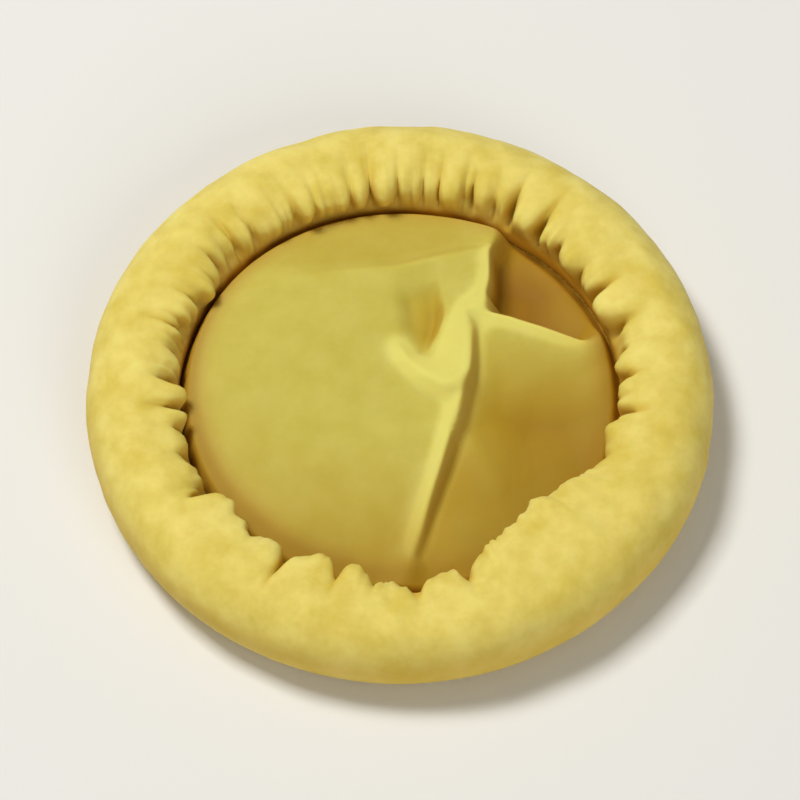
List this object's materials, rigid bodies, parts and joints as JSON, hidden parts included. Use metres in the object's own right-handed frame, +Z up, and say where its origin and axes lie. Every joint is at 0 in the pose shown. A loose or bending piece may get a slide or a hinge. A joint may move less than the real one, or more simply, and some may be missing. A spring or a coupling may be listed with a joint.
{
  "type": "finger cot",
  "caption": "Rolled latex finger cot, lying tip up: a soft ring with a gathered inner edge round its thin, creased tip.",
  "frame": {"origin": "middle of the ring, on the plane that the roll rests on", "axes": "+Z up, out of the closed tip; +Y towards the back of the pictured view, +X to its right"},
  "size_m": [0.026, 0.026, 0.004],
  "materials": {
    "latex": "matte, powdered dipped latex, slightly translucent where it is one wall thick"
  },
  "bodies": {
    "root": {"finger_cot": "latex"}
  },
  "joints": []
}
